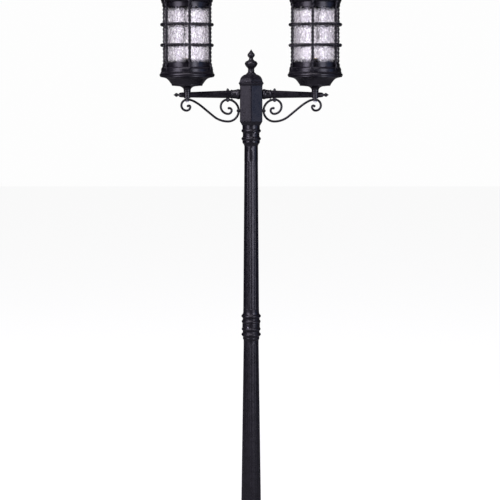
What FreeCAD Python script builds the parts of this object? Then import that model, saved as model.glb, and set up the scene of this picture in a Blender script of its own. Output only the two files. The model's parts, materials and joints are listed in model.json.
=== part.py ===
import FreeCAD, Part
import math
import os

# Twin-lantern street lamp post in cast aluminium.
# Millimetres, +Z up. The origin is the centre of the foot plate's underside.
# The arms lie along X, the front faces -Y and the service door faces +Y.

V = FreeCAD.Vector
UP = V(0, 0, 1)
SIDEWAYS = V(1, 0, 0)

# Clearances
RUNNING = 0.06          # radial, a pin turning in its bore
SLIP = 0.1              # radial, a tenon or screw in its hole
BODY_GAP = 0.3          # between pieces that move past each other

# Heights of the post's stretches
PEDESTAL_HEIGHT = 245.0
LOWER_RUN = 704.0
COUPLING_HEIGHT = 121.0
UPPER_RUN = 701.0
CAPITAL_HEIGHT = 87.0
HUB_HEIGHT = 164.0
ARM_RISE = 129.5        # hub underside to the arms' axis

# Shafts
LOWER_FOOT_R = 42.4
LOWER_HEAD_R = 32.0
UPPER_FOOT_R = 33.6
UPPER_HEAD_R = 28.5
SHAFT_WALL = 4.0
FOOT_TENON = 40.0       # depth of the lower shaft in the pedestal
SPIGOT_INSET = 3.7      # step from the upper shaft's foot down to the coupling spigots
LOWER_SPIGOT = 71.0
UPPER_SPIGOT = 46.0
CAPITAL_SPIGOT = 36.0
HUB_SPIGOT = 48.0
FLUTES = 12
FLUTE_DEPTH = 1.5
FLUTE_CUTTER_R = 9.0
FLUTE_END = 12.0        # plain stretch beside a joint
UPPER_PLAIN_HEAD = 60.0
WIRE_HOLE_R = 17.0

# Pedestal
FOOT_R = 150.0
FOOT_THICK = 12.0
ANCHOR_PCD = 250.0
ANCHOR_HOLE_R = 6.5
ANCHORS = 4
DRUM_R = 80.0
DRUM_WALL = 8.0
DRUM_FOOT = 38.0
DRUM_HEAD = 178.0

# Service door, in the drum's wall
DOOR_Z0 = 54.0
DOOR_Z1 = 164.0
DOOR_HALF_ANGLE = 31.0
DOOR_EDGE_GAP = 0.7     # degrees, and 0.7 mm above and below
DOOR_THICK = 4.0
LEDGE = 5.0             # degrees, and mm above and below
GASKET_THICK = 0.7
DOOR_HINGE_ANGLE = 33.0
DOOR_HINGE_OUT = 4.5
DOOR_KNUCKLE_R = 4.0
DOOR_PIN_R = 2.0
LOCK_ANGLE = 20.0
LOCK_R = 7.0
CAM_REACH = 15.0

# Hub and arms
HUB_APOTHEM = 47.0
HUB_WALL = 6.0
CAP_HEIGHT = 49.5
TIE_ROD_R = 4.0
LANTERN_REACH = 267.5   # post axis to lantern axis
ARM_ROOT_APOTHEM = 16.5
ARM_TIP_APOTHEM = 10.8
ARM_DROP = 2.9          # the beam's axis falls this much, so its underside stays level
ARM_OVERHANG = 20.5     # beam past the lantern axis
BELL_LENGTH = 33.0      # turned root before the beam starts
ARM_COLLAR = 2.8        # round collar between the bell and the beam, above the beam's flats
ARM_BORE_R = 6.0
ARM_SPIGOT_R = 10.0
BOSS_R = 13.5
BOSS_PROUD = 2.0        # boss above the beam, and half of it below
ARM_NUT_THICK = 6.0

# Scrolls
BAR_R = 4.7
SCROLL_STANDOFF = 5.1   # hub face to the bar's centre line
SCROLL_HANG = 6.0       # beam underside to the bar's centre line
EYE_DROP = 1.5          # bolt eyes below the bar
SCREW_X = 98.0          # vertical screw through the scroll, from the post axis
EYE_R = 7.5
M6_R = 3.0
M5_R = 2.5
M6_HEAD_R = 5.6
M5_HEAD_R = 5.0

# Lanterns, from the arm boss upwards
GLASS_R = 95.5
GLASS_WALL = 4.0
GLASS_HEIGHT = 249.0
SEAL = 1.5
GLASS_SLACK = 1.1
STEM_HEIGHT = 17.0
STEM_R = 14.7
STEM_FLARE = 5.5
BOWL_RIM = 64.0         # top of the bowl above the boss
BOWL_FLOOR = 11.0       # inside of the dish above the stem
GLASS_SEAT = 110.0      # collar ledge that the lower seal lies on
COLLAR_LIP = 12.0       # collar above that ledge
CAGE_OUT = 9.0          # glass surface to the bars' centre line
CAGE_BAR_R = 6.0
HOOP_R = 6.4
HOOP_OFFSET = 42.6      # hoops above and below the middle of the glass
CAGE_BARS = 6
CAGE_TURN = -98.0       # degrees, the front bar of the right-hand lantern
ROD_R = 5.0
ROD_BORE_R = 3.7
STEM_NUT = 3.4
HOLDER_R = 20.0
HOLDER_FOOT = 89.0
HOLDER_HEIGHT = 50.0
BULB_R = 30.0
BULB_CAP_R = 13.2
BULB_CAP_DEPTH = 26.0
ROOF_HINGE_OUT = 25.5   # glass surface to the roof hinge's axis
ROOF_KNUCKLE_R = 5.0
ROOF_PIN_R = 2.5
LUG_OUT = 24.5          # glass surface to the thumb screw's axis
LUG_R = 7.0
LUG_DEPTH = 12.0
LUG_HOLE_SLACK = 1.1
CROWN_Z = 40.0          # crown above the roof's seat
CROWN_HEIGHT = 46.0
CROWN_VENTS = 12
STUD_R = 4.0
ROOF_FINIAL_SCALE = 0.565

# Wiring
LEAD_R = 2.5
LEAD_X = 8.0
HUB_BEND_R = 14.0
ROD_BEND_R = 10.0
PLATE_THICK = 3.0
PLATE_Y = -10.0
PLATE_HALF_WIDTH = 58.0
PLATE_Z0 = 62.0
PLATE_Z1 = 160.0
BLOCK_HALF_WIDTH = 30.0
BLOCK_DEPTH = 16.0
BLOCK_Z0 = 92.0
BLOCK_Z1 = 120.0
TERMINALS = 4

# Levels worked out from the stretches
COUPLING_Z = PEDESTAL_HEIGHT + LOWER_RUN
UPPER_Z = COUPLING_Z + COUPLING_HEIGHT
CAPITAL_Z = UPPER_Z + UPPER_RUN
HUB_Z = CAPITAL_Z + CAPITAL_HEIGHT
HUB_TOP = HUB_Z + HUB_HEIGHT
ARM_Z = HUB_Z + ARM_RISE
TIP_Z = ARM_Z - ARM_DROP
BEAM_UNDERSIDE = ARM_Z - ARM_ROOT_APOTHEM
BOSS_FOOT = BEAM_UNDERSIDE - BOSS_PROUD / 2
SEAT_Z = TIP_Z + ARM_TIP_APOTHEM + BOSS_PROUD
SCROLL_Z = BEAM_UNDERSIDE - SCROLL_HANG
EYE_FOOT = SCROLL_Z - BAR_R - EYE_DROP
SPIGOT_R = UPPER_FOOT_R - SPIGOT_INSET

# Lantern levels above the boss, and the middle plane the two collars mirror about
GLASS_Z0 = GLASS_SEAT + SEAL
GLASS_Z1 = GLASS_Z0 + GLASS_HEIGHT
MIDDLE = (GLASS_Z0 + GLASS_Z1) / 2
ROOF_SEAT = 2 * MIDDLE - BOWL_RIM
LEDGE_IN = GLASS_R - GLASS_WALL - 3.5
HOLDER_TOP = HOLDER_FOOT + HOLDER_HEIGHT


# ---------------------------------------------------------------- shared shapes

def outline(points, place):
    """A closed wire through (a, b) or (a, b, bulge) points.

    A bulge bends the edge that reaches its point: it is the tangent of a quarter of the
    arc's angle, positive to the right of the way of travel.
    """
    edges = []
    for start, end in zip(points, points[1:] + points[:1]):
        a0, b0 = start[:2]
        a1, b1 = end[:2]
        bulge = end[2] if len(end) > 2 else 0.0
        if bulge:
            mid = place((a0 + a1 + bulge * (b1 - b0)) / 2, (b0 + b1 - bulge * (a1 - a0)) / 2)
            edges.append(Part.Arc(place(a0, b0), mid, place(a1, b1)).toShape())
        else:
            edges.append(Part.LineSegment(place(a0, b0), place(a1, b1)).toShape())
    return Part.Wire(edges)


def turned(points, z=0.0):
    """A solid of revolution about Z from (radius, height) points."""
    wire = outline(points, lambda a, b: V(a, 0, z + b))
    return Part.Face(wire).revolve(V(0, 0, 0), UP, 360)


def aimed(shape, point, direction):
    """Turn a shape made along +Z to a direction and put its origin at a point."""
    shape = shape.copy()
    shape.Placement = FreeCAD.Placement(V(*point), FreeCAD.Rotation(UP, V(*direction)))
    return shape


def moved(shape, x=0.0, y=0.0, z=0.0):
    shape = shape.copy()
    shape.translate(V(x, y, z))
    return shape


def mirrored(shape):
    """The same piece on the left, -X, side."""
    return shape.mirror(V(0, 0, 0), SIDEWAYS)


def around(shape, degrees):
    """A copy turned about the post's axis, or the lantern's while it is at the origin."""
    shape = shape.copy()
    shape.rotate(V(0, 0, 0), UP, degrees)
    return shape


def ring_of(shape, count, first=0.0):
    return [around(shape, first + 360.0 * i / count) for i in range(count)]


def joined(*shapes):
    return shapes[0].fuse(list(shapes[1:])).removeSplitter()


def round_bar(radius, z0, z1, x=0.0, y=0.0):
    return Part.makeCylinder(radius, z1 - z0, V(x, y, z0))


def tube(outer, inner, z0, z1):
    return turned([(inner, z0), (outer, z0), (outer, z1), (inner, z1)])


def block(x0, x1, y0, y1, z0, z1):
    return Part.makeBox(x1 - x0, y1 - y0, z1 - z0, V(x0, y0, z0))


def sector(r0, r1, middle, half, z0, z1):
    """Part of a tube wall, centred on an angle from +X."""
    start = V(0, 0, 0)
    wire = outline([(r0, z0), (r1, z0), (r1, z1), (r0, z1)], lambda a, b: V(a, 0, b))
    return around(Part.Face(wire).revolve(start, UP, 2 * half), middle - half)


def hex_bar(across_half, z0, z1):
    corner = across_half / math.cos(math.radians(30))
    points = [V(corner * math.cos(math.radians(a)), corner * math.sin(math.radians(a)), z0)
              for a in range(30, 390, 60)]
    return Part.Face(Part.makePolygon(points + points[:1])).extrude(V(0, 0, z1 - z0))


def hex_vault(points, z):
    """A six-sided solid whose flats follow one outline of (apothem, height) points."""
    top = (-points[-1][0], points[-1][1])
    left = [(-lower[0], lower[1], *upper[2:]) for lower, upper in zip(points[-2::-1], points[:0:-1])]
    wire = outline(points + [top] + left, lambda a, b: V(a, -4 * HUB_APOTHEM, z + b))
    solid = None
    for turn in (0, 60, 120):
        slab = around(Part.Face(wire).extrude(V(0, 8 * HUB_APOTHEM, 0)), turn)
        solid = slab if solid is None else solid.common(slab)
    return solid


def screw(shank_r, length, head_r, head_height):
    """A domed screw along +Z: shank below the origin, head above, with a hex socket."""
    head = turned([(0, 0), (head_r, 0), (head_r, head_height * 0.35),
                   (0, head_height, 0.25)])
    socket = hex_bar(head_r * 0.4, head_height * 0.4, head_height * 2)
    return joined(head.cut(socket), round_bar(shank_r, -length, 0))


def bent_bar(radius, start, heading, bends):
    """A round bar in the plane Y = 0 from an (x, z) start.

    Bends are (0, length) straight runs and (radius, degrees) arcs, positive to the left.
    """
    x, z = start
    angle = math.radians(heading)
    edges = []
    for bend_r, amount in bends:
        here = V(x, 0, z)
        if bend_r == 0:
            x += amount * math.cos(angle)
            z += amount * math.sin(angle)
            edges.append(Part.LineSegment(here, V(x, 0, z)).toShape())
            continue
        side = math.copysign(1.0, amount)
        turn = math.radians(amount)
        centre_x = x - side * bend_r * math.sin(angle)
        centre_z = z + side * bend_r * math.cos(angle)

        def on_arc(share):
            a = angle + turn * share
            return V(centre_x + side * bend_r * math.sin(a), 0, centre_z - side * bend_r * math.cos(a))

        edges.append(Part.Arc(here, on_arc(0.5), on_arc(1.0)).toShape())
        x, z = on_arc(1.0).x, on_arc(1.0).z
        angle += turn
    circle = Part.Circle(V(start[0], 0, start[1]),
                         V(math.cos(math.radians(heading)), 0, math.sin(math.radians(heading))), radius)
    pipe = Part.Wire(edges).makePipeShell([Part.Wire([circle.toShape()])], True, False)
    return pipe, (x, z)


# ---------------------------------------------------------------- pedestal and door

def door_frame_cut(inset, r0, r1):
    """The door's space in the wall, shrunk by an inset in degrees and mm."""
    return sector(r0, r1, 90, DOOR_HALF_ANGLE - inset, DOOR_Z0 + inset, DOOR_Z1 - inset)


DOOR_BACK_R = DRUM_R - DOOR_THICK
LEDGE_R = DOOR_BACK_R - BODY_GAP - GASKET_THICK


def door_hinge_place():
    angle = math.radians(90 + DOOR_HINGE_ANGLE)
    reach = DRUM_R + DOOR_HINGE_OUT
    return reach * math.cos(angle), reach * math.sin(angle)


def door_knuckles(levels):
    """Knuckles on the door hinge's axis."""
    x, y = door_hinge_place()
    return [round_bar(DOOR_KNUCKLE_R, z0, z1, x, y) for z0, z1 in levels]


def knuckle_levels(fixed):
    """Five knuckles: the door has the outer and middle ones, the pedestal the two between."""
    length = (DOOR_Z1 - DOOR_Z0) / 5
    edges = [DOOR_Z0 + i * length for i in range(6)]
    chosen = (1, 3) if fixed else (0, 2, 4)
    shrink = BODY_GAP / 2
    return [(edges[i] + shrink, edges[i + 1] - shrink) for i in chosen]


def base_pedestal():
    neck_r = LOWER_FOOT_R + 8.0
    socket_r = LOWER_FOOT_R + SLIP
    inner = DRUM_R - DRUM_WALL
    shoulder = PEDESTAL_HEIGHT - FOOT_TENON
    shell = turned([
        (inner, 0), (FOOT_R, 0), (FOOT_R, FOOT_THICK - 3), (FOOT_R - 3, FOOT_THICK, 0.41),
        (DRUM_R + 14, FOOT_THICK), (DRUM_R + 10, FOOT_THICK + 4),
        (DRUM_R + 8, DRUM_FOOT - 8, 0.75), (DRUM_R + 3, DRUM_FOOT - 6),
        (DRUM_R, DRUM_FOOT, -0.41), (DRUM_R, DRUM_HEAD - 4), (DRUM_R + 2, DRUM_HEAD - 2),
        (DRUM_R + 2, DRUM_HEAD + 8, 0.9), (DRUM_R - 2, DRUM_HEAD + 10),
        (neck_r + 2, PEDESTAL_HEIGHT - 22, -0.3), (neck_r + 2, PEDESTAL_HEIGHT - 18),
        (neck_r + 2, PEDESTAL_HEIGHT - 6, 0.8), (neck_r - 3, PEDESTAL_HEIGHT, 0.3),
        (socket_r, PEDESTAL_HEIGHT), (socket_r, shoulder), (LOWER_FOOT_R - SHAFT_WALL, shoulder),
        (LOWER_FOOT_R - SHAFT_WALL, shoulder - 6), (inner, DRUM_HEAD - 2, -0.1),
    ])
    holes = ring_of(round_bar(ANCHOR_HOLE_R, -1, FOOT_THICK + 5, ANCHOR_PCD / 2), ANCHORS, 45)
    recess = door_frame_cut(0, LEDGE_R, DRUM_R * 1.2)
    opening = door_frame_cut(LEDGE, inner - 5, DRUM_R * 1.2)
    shell = shell.cut(holes + [recess, opening])
    rib_in = PLATE_HALF_WIDTH - 10
    rib = block(rib_in, inner + 2, PLATE_Y - 8, PLATE_Y, PLATE_Z0, PLATE_Z1)
    knuckles = door_knuckles(knuckle_levels(True))
    x, y = door_hinge_place()
    webs = []
    for z0, z1 in knuckle_levels(True):
        web = sector(DRUM_R - 2, DRUM_R + DOOR_HINGE_OUT + 1, 90 + DOOR_HINGE_ANGLE + 1.5, 1.6, z0, z1)
        webs.append(web)
    body = joined(shell, rib, mirrored(rib), *knuckles, *webs)
    cuts = [round_bar(DOOR_PIN_R + RUNNING, DOOR_Z0 - 5, DOOR_Z1 + 5, x, y)]
    cuts += [aimed(round_bar(M5_R + SLIP, -30, 30), (s * (rib_in + 5), PLATE_Y - 8, h), (0, 1, 0))
             for s in (-1, 1) for h in plate_screw_levels()]
    cuts += set_screw_holes()
    return body.cut(cuts)


def set_screw_places():
    level = PEDESTAL_HEIGHT - 12
    return [(math.radians(a), level) for a in (-60, 60, 180)]


def base_set_screws():
    """Cone-head screws that lock the shaft in its socket."""
    neck = LOWER_FOOT_R + 8.0 + 2.0
    pieces = []
    for angle, level in set_screw_places():
        way = (math.cos(angle), math.sin(angle), 0)
        piece = screw(M6_R, neck + 5.0 - LOWER_FOOT_R - SLIP, 5.0, 3.2)
        pieces.append(aimed(piece, ((neck + 5.0) * way[0], (neck + 5.0) * way[1], level), way))
    return pieces


def set_screw_holes():
    pieces = []
    for angle, level in set_screw_places():
        way = (math.cos(angle), math.sin(angle), 0)
        hole = round_bar(M6_R + SLIP, 0, DRUM_R)
        start = LOWER_FOOT_R - 2.0
        spot = round_bar(6.0, LOWER_FOOT_R + 15.0 - start, DRUM_R)
        pieces.append(aimed(hole.fuse(spot), (start * way[0], start * way[1], level), way))
    return pieces


def service_door():
    gap = DOOR_EDGE_GAP
    leaf = door_frame_cut(gap, DOOR_BACK_R, DRUM_R)
    panel = sector(DRUM_R - 1, DRUM_R + 1.5, 90 - 3, DOOR_HALF_ANGLE - 8, DOOR_Z0 + 12, DOOR_Z1 - 12)
    webs = []
    for z0, z1 in knuckle_levels(False):
        inner = DOOR_HALF_ANGLE - gap
        half = (DOOR_HINGE_ANGLE - inner) / 2 + 1.0
        webs.append(sector(DRUM_R - 1, DRUM_R + DOOR_HINGE_OUT + 1, 90 + inner - 2.0 + half - 0.6, half,
                           max(z0, DOOR_Z0 + gap), min(z1, DOOR_Z1 - gap)))
    knuckles = door_knuckles([(max(a, DOOR_Z0 + gap), min(b, DOOR_Z1 - gap))
                              for a, b in knuckle_levels(False)])
    body = joined(leaf, panel, *knuckles, *webs)
    clear = sector(DRUM_R - 3, DRUM_R + BODY_GAP, 90 + DOOR_HALF_ANGLE + 8, 8 + gap, DOOR_Z0, DOOR_Z1)
    x, y = door_hinge_place()
    pin = round_bar(DOOR_PIN_R + RUNNING, DOOR_Z0 - 5, DOOR_Z1 + 5, x, y)
    return body.cut([clear, pin, lock_barrel(LOCK_R + RUNNING, DRUM_R - 20, DRUM_R + 20)])


def door_gasket():
    ring = door_frame_cut(0.5, LEDGE_R, LEDGE_R + GASKET_THICK)
    return ring.cut(door_frame_cut(LEDGE - 0.5, LEDGE_R - 5, DRUM_R))


def door_hinge_pin():
    x, y = door_hinge_place()
    shank = round_bar(DOOR_PIN_R, DOOR_Z0 - 1.5, DOOR_Z1 + 0.5, x, y)
    head = round_bar(DOOR_PIN_R + 1.2, DOOR_Z1 + 0.5, DOOR_Z1 + 2.5, x, y)
    return joined(shank, head)


def at_lock(shape):
    """Turn a shape made along +Z at the origin to the lock's radial axis, its Y downwards."""
    return around(aimed(shape, (0, 0, (DOOR_Z0 + DOOR_Z1) / 2), (0, 1, 0)), -LOCK_ANGLE)


def lock_barrel(radius, r0, r1):
    return at_lock(round_bar(radius, r0, r1))


def door_lock():
    """A cam lock: outer collar, barrel through the door and a cam that hangs clear of the ledge."""
    collar = lock_barrel(LOCK_R + 2.5, DRUM_R + 1.5 + BODY_GAP, DRUM_R + 4.5)
    barrel = lock_barrel(LOCK_R, DRUM_R - 10, DRUM_R + 2)
    stem = lock_barrel(3.0, DRUM_R - 15, DRUM_R - 9)
    cam = at_lock(block(-4, 4, -5, CAM_REACH, DRUM_R - 14, DRUM_R - 11))
    slot = at_lock(block(-1.0, 1.0, -4.0, 4.0, DRUM_R + 2.0, DRUM_R + 8))
    return joined(collar, barrel, stem, cam).cut(slot)


# ---------------------------------------------------------------- inside the pedestal

def plate_screw_levels():
    return PLATE_Z0 + 12, PLATE_Z1 - 12


def plate_screw_places():
    x = PLATE_HALF_WIDTH - 5
    return [(s * x, h) for s in (-1, 1) for h in plate_screw_levels()]


def terminal_plate():
    plate = block(-PLATE_HALF_WIDTH, PLATE_HALF_WIDTH, PLATE_Y, PLATE_Y + PLATE_THICK, PLATE_Z0, PLATE_Z1)
    holes = [aimed(round_bar(M5_R + SLIP, -30, 30), (x, PLATE_Y, z), (0, 1, 0))
             for x, z in plate_screw_places()]
    return plate.cut(holes)


def plate_screws():
    piece = screw(M5_R, 9.0, 4.6, 2.8)
    return [aimed(piece, (x, PLATE_Y + PLATE_THICK, z), (0, 1, 0)) for x, z in plate_screw_places()]


def terminal_places():
    step = 2 * BLOCK_HALF_WIDTH / TERMINALS
    return [-BLOCK_HALF_WIDTH + step * (i + 0.5) for i in range(TERMINALS)]


def terminal_block():
    y0 = PLATE_Y + PLATE_THICK
    body = block(-BLOCK_HALF_WIDTH, BLOCK_HALF_WIDTH, y0, y0 + BLOCK_DEPTH, BLOCK_Z0, BLOCK_Z1)
    middle = (BLOCK_Z0 + BLOCK_Z1) / 2
    wells = [aimed(round_bar(4.0, BLOCK_DEPTH - 6, BLOCK_DEPTH + 2), (x, y0, middle), (0, 1, 0))
             for x in terminal_places()]
    return body.cut(wells)


def terminal_screws():
    floor = PLATE_Y + PLATE_THICK + BLOCK_DEPTH - 6
    middle = (BLOCK_Z0 + BLOCK_Z1) / 2
    slot = block(-5, 5, -0.5, 0.5, 2.8, 6)
    piece = round_bar(3.5, 0, 4).cut(slot)
    return [aimed(piece, (x, floor, middle), (0, 1, 0)) for x in terminal_places()]


# ---------------------------------------------------------------- shafts and castings

def flute(z0, z1, r0, r1, foot, head):
    """A groove with round ends, cut along a cone from level foot to level head."""
    def radius(z):
        return r0 + (r1 - r0) * (z - z0) / (z1 - z0)

    out = FLUTE_CUTTER_R - FLUTE_DEPTH
    low = V(radius(foot) + out, 0, foot)
    high = V(radius(head) + out, 0, head)
    length = (high - low).Length
    reach = FLUTE_CUTTER_R
    capsule = turned([(0, -reach), (reach, 0, 0.4142), (reach, length), (0, length + reach, 0.4142)])
    return aimed(capsule, low, high - low)


def shaft(z0, z1, r0, r1, tenon_r, tenon, plain_head, head_r=None, spigot=0.0):
    """A fluted, tapered tube with a tenon below and, if stated, a spigot above."""
    wall = SHAFT_WALL
    ease = 16.0
    points = [(tenon_r - wall, z0 - tenon), (tenon_r, z0 - tenon), (tenon_r, z0), (r0, z0), (r1, z1)]
    if tenon_r == r0:
        points.pop(2)
    if head_r:
        points += [(head_r, z1), (head_r, z1 + spigot), (head_r - wall, z1 + spigot),
                   (head_r - wall, z1 - 2), (r1 - wall, z1 - ease)]
    else:
        points += [(r1 - wall, z1)]
    if tenon_r != r0:
        points += [(r0 - wall, z0 + ease), (tenon_r - wall, z0 + 2)]
    body = turned(points)
    reach = math.sqrt(2 * FLUTE_CUTTER_R * FLUTE_DEPTH)
    groove = flute(z0, z1, r0, r1, z0 + FLUTE_END + reach, z1 - plain_head - reach)
    return body.cut(ring_of(groove, FLUTES, -90))


def cross_holes(places, radius):
    """Radial screw holes, each from the axis outwards, at (degrees, level)."""
    holes = []
    for degrees, level in places:
        way = (math.cos(math.radians(degrees)), math.sin(math.radians(degrees)), 0)
        holes.append(aimed(round_bar(radius, 10, 100), (0, 0, level), way))
    return holes


def spot_faces(places, seats, radius):
    """Flat seats for screw heads, cut from each seat outwards."""
    cuts = []
    for (degrees, level), seat in zip(places, seats):
        way = (math.cos(math.radians(degrees)), math.sin(math.radians(degrees)), 0)
        cuts.append(aimed(round_bar(radius, seat, seat + 20), (0, 0, level), way))
    return cuts


def lower_shaft():
    foot_z = PEDESTAL_HEIGHT
    body = shaft(foot_z, COUPLING_Z, LOWER_FOOT_R, LOWER_HEAD_R, LOWER_FOOT_R, FOOT_TENON,
                 FLUTE_END - 3, SPIGOT_R, LOWER_SPIGOT)
    return body.cut(cross_holes(COUPLING_SCREWS[:1], M6_R + SLIP))


def upper_shaft():
    body = shaft(UPPER_Z, CAPITAL_Z, UPPER_FOOT_R, UPPER_HEAD_R, SPIGOT_R, UPPER_SPIGOT, UPPER_PLAIN_HEAD)
    return body.cut(cross_holes(COUPLING_SCREWS[1:], M6_R + SLIP) + cross_holes(CAPITAL_SCREWS[1:], M5_R + SLIP))


# Screws by (degrees from +X, level): the front is at -90
COUPLING_SCREWS = [(-113, COUPLING_Z + 57), (90, COUPLING_Z + 93)]
COUPLING_SEATS = [UPPER_FOOT_R + 2.6, UPPER_FOOT_R + 1.2]
CAPITAL_SCREWS = [(-62, CAPITAL_Z + 57), (-97, CAPITAL_Z - 11)]
CAPITAL_SEATS = [UPPER_HEAD_R + 6.2]


def shaft_coupling():
    """Two pairs of rings round a socket that takes a spigot from each shaft."""
    r = UPPER_FOOT_R
    bore = SPIGOT_R + SLIP
    web = LOWER_SPIGOT
    points = [
        (bore, 0), (LOWER_HEAD_R - 0.2, 0), (LOWER_HEAD_R + 0.6, 3), (r + 0.9, 8, 0.2), (r + 0.9, 13, 0.2),
        (r + 1.3, 16), (r + 4, 20, -0.25), (r + 4, 32, 0.58), (r + 2, 35, -0.3),
        (r + 2, 40), (r + 3.4, 43, -0.3), (r + 3.4, 55, 0.5), (r + 3.6, 58), (r + 3.6, 72),
        (r + 3.4, 75), (r + 3.4, 87, 0.5), (r + 2.2, 90, -0.3), (r + 2.2, 95), (r + 4.2, 98, -0.3),
        (r + 4.2, 110, 0.58), (r + 1.5, 114, -0.15), (r, COUPLING_HEIGHT),
        (bore, COUPLING_HEIGHT), (bore, COUPLING_HEIGHT - UPPER_SPIGOT), (WIRE_HOLE_R, COUPLING_HEIGHT - UPPER_SPIGOT),
        (WIRE_HOLE_R, web), (bore, web),
    ]
    cuts = cross_holes(COUPLING_SCREWS, M6_R + SLIP) + spot_faces(COUPLING_SCREWS, COUPLING_SEATS, M6_HEAD_R + 0.4)
    return turned(points, COUPLING_Z).cut(cuts)


def radial_screws(places, seats, shank_r, length, head_r, head_height):
    pieces = []
    for (degrees, level), seat in zip(places, seats):
        way = (math.cos(math.radians(degrees)), math.sin(math.radians(degrees)), 0)
        piece = screw(shank_r, length, head_r, head_height)
        pieces.append(aimed(piece, (seat * way[0], seat * way[1], level), way))
    return pieces


def coupling_screws():
    return radial_screws(COUPLING_SCREWS, COUPLING_SEATS, M6_R, 9.0, M6_HEAD_R, 3.4)


def capital_screw():
    """A domed screw in the capital's waist that holds the hub's spigot."""
    return radial_screws(CAPITAL_SCREWS[:1], CAPITAL_SEATS, M5_R, 10.0, M5_HEAD_R, 3.2)


def shaft_set_screw():
    """A screw sunk in the shaft's head that holds the capital's spigot."""
    degrees, level = CAPITAL_SCREWS[1]
    way = (math.cos(math.radians(degrees)), math.sin(math.radians(degrees)), 0)
    foot = UPPER_HEAD_R - SHAFT_WALL - 4.0
    sunk = round_bar(M5_R, 0, 6.0).cut(hex_bar(1.3, 3.0, 8.0))
    return aimed(sunk, (foot * way[0], foot * way[1], level), way)


def capital():
    r = UPPER_HEAD_R
    spigot = r - SHAFT_WALL - SLIP
    socket = SPIGOT_R + SLIP
    floor = CAPITAL_HEIGHT - HUB_SPIGOT
    points = [
        (WIRE_HOLE_R, -CAPITAL_SPIGOT), (spigot, -CAPITAL_SPIGOT), (spigot, 0), (r, 0), (r + 1.5, 4),
        (r + 5.9, 11, -0.2), (r + 8, 17, 0.2), (r + 8, 21), (r + 9, 25, -0.3), (r + 9, 37, 0.58),
        (r + 7, 40, -0.3), (r + 6.6, 49, -0.1), (r + 7.6, 56, -0.2), (r + 9, 58, -0.3), (r + 9, 70, 0.58),
        (r + 8.2, 73, -0.3), (r + 8.4, CAPITAL_HEIGHT), (socket, CAPITAL_HEIGHT), (socket, floor), (WIRE_HOLE_R, floor),
    ]
    cuts = cross_holes(CAPITAL_SCREWS, M5_R + SLIP) + spot_faces(CAPITAL_SCREWS, CAPITAL_SEATS, M5_HEAD_R + 0.4)
    return turned(points, CAPITAL_Z).cut(cuts)


# ---------------------------------------------------------------- hub

def hub_screw_level():
    """The scroll's hub-side screw lies where the bar runs nearest the hub."""
    return SCROLL_Z - SCROLL_CROWN_R


def hub():
    a = HUB_APOTHEM
    body = hex_vault([(a - 8.5, 0), (a - 7.4, 3), (a - 1, 14), (a, 17), (a, HUB_HEIGHT)], HUB_Z)
    body = body.common(round_bar(a / math.cos(math.radians(30)) - 1.1, HUB_Z - 1, HUB_TOP + 1))
    spigot = round_bar(SPIGOT_R, HUB_Z - HUB_SPIGOT, HUB_Z + 2)
    room = hex_bar(a - HUB_WALL, HUB_Z + 18, HUB_TOP + 1)
    wire = round_bar(WIRE_HOLE_R, HUB_Z - HUB_SPIGOT - 1, HUB_Z + 30)
    bridge = block(-9, 9, -a, a, HUB_TOP - 20, HUB_TOP - 12)
    shell = body.fuse(spigot).cut([room, wire])
    shell = joined(shell, bridge.common(hex_bar(a - 1, HUB_Z, HUB_TOP)))
    rod = round_bar(TIE_ROD_R + SLIP, HUB_TOP - 30, HUB_TOP + 1)
    sides = []
    for side in (-1, 1):
        sides.append(aimed(round_bar(ARM_SPIGOT_R + SLIP, a - 15, a + 5), (0, 0, ARM_Z), (side, 0, 0)))
        sides.append(aimed(round_bar(M5_R + SLIP, a - 15, a + 5), (0, 0, hub_screw_level()), (side, 0, 0)))
    waist = cross_holes([(CAPITAL_SCREWS[0][0], CAPITAL_SCREWS[0][1])], M5_R + SLIP)
    return shell.cut([rod] + sides + waist)


def hub_cap():
    a = HUB_APOTHEM
    dome = hex_vault([(a + 0.6, 0), (a + 1.5, 4), (a + 4.0, 8, -0.2), (a + 4.0, 14, 0.4), (a + 0.9, 18, -0.2),
                      (a + 0.2, 21), (22, CAP_HEIGHT - 1.5, 0.33), (21, CAP_HEIGHT)], HUB_TOP)
    plug = hex_bar(a - HUB_WALL - BODY_GAP, HUB_TOP - 6, HUB_TOP + 1)
    room = hex_vault([(a - HUB_WALL - 4, 0), (a - HUB_WALL - 4, 24), (16, CAP_HEIGHT, 0.3)], HUB_TOP - 7)
    stud = round_bar(TIE_ROD_R + SLIP, HUB_TOP, HUB_TOP + CAP_HEIGHT + 1)
    return joined(dome, plug).cut([room, stud])


def finial(scale):
    """A turned finial from its foot: flared foot, bulb, neck and pointed bud."""
    points = [(0, 0), (20, 0), (20, 2), (12.5, 14, -0.25), (14, 16.5, 0.4), (12, 19, 0.4),
              (19, 29, -0.12), (26, 41, 0.12), (26, 46, 0.4), (19, 54, 0.2), (10, 60, -0.2),
              (8.3, 65, -0.1), (9, 68), (15.4, 77, 0.2), (12, 86, 0.25), (0.8, 102, -0.05), (0, 102.6)]
    return turned([(p[0] * scale, p[1] * scale, *p[2:]) for p in points])


def hub_finial():
    body = moved(finial(1.0), z=HUB_TOP + CAP_HEIGHT)
    return body.cut(round_bar(TIE_ROD_R + SLIP, HUB_TOP, HUB_TOP + CAP_HEIGHT + 14))


def hub_tie_rod():
    rod = round_bar(TIE_ROD_R, HUB_TOP - 29, HUB_TOP + CAP_HEIGHT + 13)
    nut = hex_bar(7.0, HUB_TOP - 27, HUB_TOP - 20)
    return joined(rod, nut)


# ---------------------------------------------------------------- arms

def octagon(x, apothem, z):
    corner = apothem / math.cos(math.radians(22.5))
    points = [V(x, corner * math.cos(math.radians(a)), z + corner * math.sin(math.radians(a)))
              for a in (22.5 + 45 * i for i in range(8))]
    return Part.makePolygon(points + points[:1])


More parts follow.
